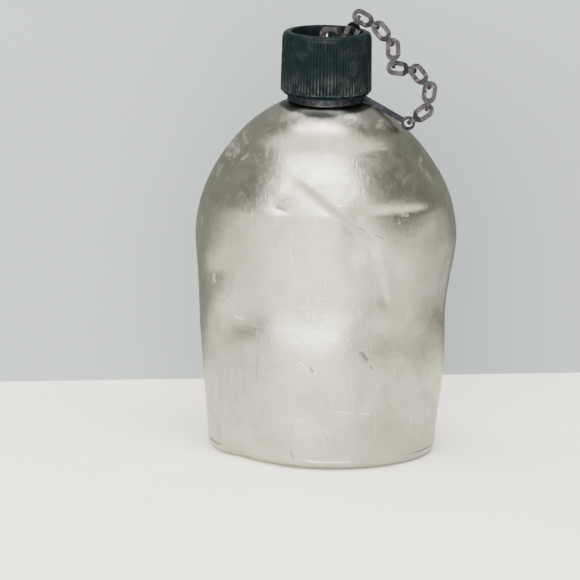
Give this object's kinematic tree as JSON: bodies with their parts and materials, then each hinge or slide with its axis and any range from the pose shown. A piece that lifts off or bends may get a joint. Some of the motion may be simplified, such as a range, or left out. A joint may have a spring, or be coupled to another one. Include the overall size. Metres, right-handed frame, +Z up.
{
  "type": "canteen",
  "caption": "One-quart kidney-shaped aluminium field canteen with a ribbed screw cap held to a neck strap by a steel chain.",
  "frame": {"origin": "flat base, below the neck's axis", "axes": "+Z up along the neck, -Y the convex front, +X the side that the chain hangs on"},
  "size_m": [0.1278, 0.0646, 0.2202],
  "materials": {
    "aluminium_body": "worn satin",
    "aluminium_neck": "satin",
    "strap_steel": "darkened, rusty",
    "chain_steel": "darkened",
    "cap_moulding": "moulded, worn",
    "pin_metal": "worn plating",
    "washer_steel": "dull",
    "gasket_cork": "cork"
  },
  "bodies": {
    "bottle": {"body_shell": "aluminium_body", "neck": "aluminium_neck"},
    "strap": {"neck_ring": "strap_steel"},
    "lift_washer": {"pin_washer": "washer_steel"},
    "cap": {"cap_shell": "cap_moulding", "gasket": "gasket_cork", "pin_burr": "washer_steel"},
    "pin": {"cap_pin": "pin_metal"},
    "chain_link_1": {"chain_link_1": "chain_steel"},
    "chain_link_2": {"chain_link_2": "chain_steel"},
    "chain_link_3": {"chain_link_3": "chain_steel"},
    "chain_link_4": {"chain_link_4": "chain_steel"},
    "chain_link_5": {"chain_link_5": "chain_steel"},
    "chain_link_6": {"chain_link_6": "chain_steel"},
    "chain_link_7": {"chain_link_7": "chain_steel"},
    "chain_link_8": {"chain_link_8": "chain_steel"},
    "chain_link_9": {"chain_link_9": "chain_steel"}
  },
  "joints": [
    {"name": "ring_swivel", "type": "hinge", "parent": "bottle", "child": "strap", "pos_m": [0, 0, 0.1778], "axis": [0, 0, 1], "continuous": true},
    {"name": "cap_lift", "type": "slide", "parent": "bottle", "child": "lift_washer", "axis": [0, 0, 1], "range_m": [0, 0.0152]},
    {"name": "cap_turn", "type": "hinge", "parent": "lift_washer", "child": "cap", "pos_m": [0, 0, 0.19], "axis": [0, 0, 1], "range_deg": [0, 1216]},
    {"name": "pin_swivel", "type": "hinge", "parent": "lift_washer", "child": "pin", "pos_m": [0, 0, 0.2], "axis": [0, 0, 1], "continuous": true},
    {"name": "link_1_swing", "type": "hinge", "parent": "pin", "child": "chain_link_1", "pos_m": [0, 0, 0.2077], "axis": [0, -1, 0], "range_deg": [0, 5.72]},
    {"name": "link_2_swing", "type": "hinge", "parent": "chain_link_1", "child": "chain_link_2", "pos_m": [0.01068, 0, 0.20699], "axis": [0, -1, 0], "range_deg": [-32.37, 0]},
    {"name": "link_3_swing", "type": "hinge", "parent": "chain_link_2", "child": "chain_link_3", "pos_m": [0.01515, 0, 0.21671], "axis": [0, -1, 0], "range_deg": [0, 16.77]},
    {"name": "link_4_swing", "type": "hinge", "parent": "chain_link_3", "child": "chain_link_4", "pos_m": [0.02442, 0, 0.21138], "axis": [0, -1, 0], "range_deg": [-6.34, 0]},
    {"name": "link_5_swing", "type": "hinge", "parent": "chain_link_4", "child": "chain_link_5", "pos_m": [0.03132, 0, 0.20319], "axis": [0, -1, 0], "range_deg": [0, 11.85]},
    {"name": "link_6_swing", "type": "hinge", "parent": "chain_link_5", "child": "chain_link_6", "pos_m": [0.03191, 0, 0.19251], "axis": [0, -1, 0], "range_deg": [-22.58, 0]},
    {"name": "link_7_swing", "type": "hinge", "parent": "chain_link_6", "child": "chain_link_7", "pos_m": [0.04254, 0, 0.19128], "axis": [0, -1, 0], "range_deg": [0, 10.86]},
    {"name": "link_8_swing", "type": "hinge", "parent": "chain_link_7", "child": "chain_link_8", "pos_m": [0.0494, 0, 0.18307], "axis": [0, -1, 0], "range_deg": [0, 16.34]},
    {"name": "link_9_swing", "type": "hinge", "parent": "chain_link_8", "child": "chain_link_9", "pos_m": [0.04803, 0, 0.17246], "axis": [0, -1, 0], "range_deg": [0, 30.28]}
  ],
  "couplings": [
    {"joint": "cap_lift", "follows": "cap_turn", "m_per_rad": 0.0007162},
    {"joint": "pin_swivel", "follows": "ring_swivel", "ratio": 1},
    {"joint": "link_1_swing", "follows": "cap_turn", "ratio": 0.004662},
    {"joint": "link_2_swing", "follows": "cap_turn", "ratio": -0.026575},
    {"joint": "link_3_swing", "follows": "cap_turn", "ratio": 0.01375},
    {"joint": "link_4_swing", "follows": "cap_turn", "ratio": -0.005175},
    {"joint": "link_5_swing", "follows": "cap_turn", "ratio": 0.0097},
    {"joint": "link_6_swing", "follows": "cap_turn", "ratio": -0.018525},
    {"joint": "link_7_swing", "follows": "cap_turn", "ratio": 0.008887},
    {"joint": "link_8_swing", "follows": "cap_turn", "ratio": 0.0134},
    {"joint": "link_9_swing", "follows": "cap_turn", "ratio": 0.024862}
  ]
}
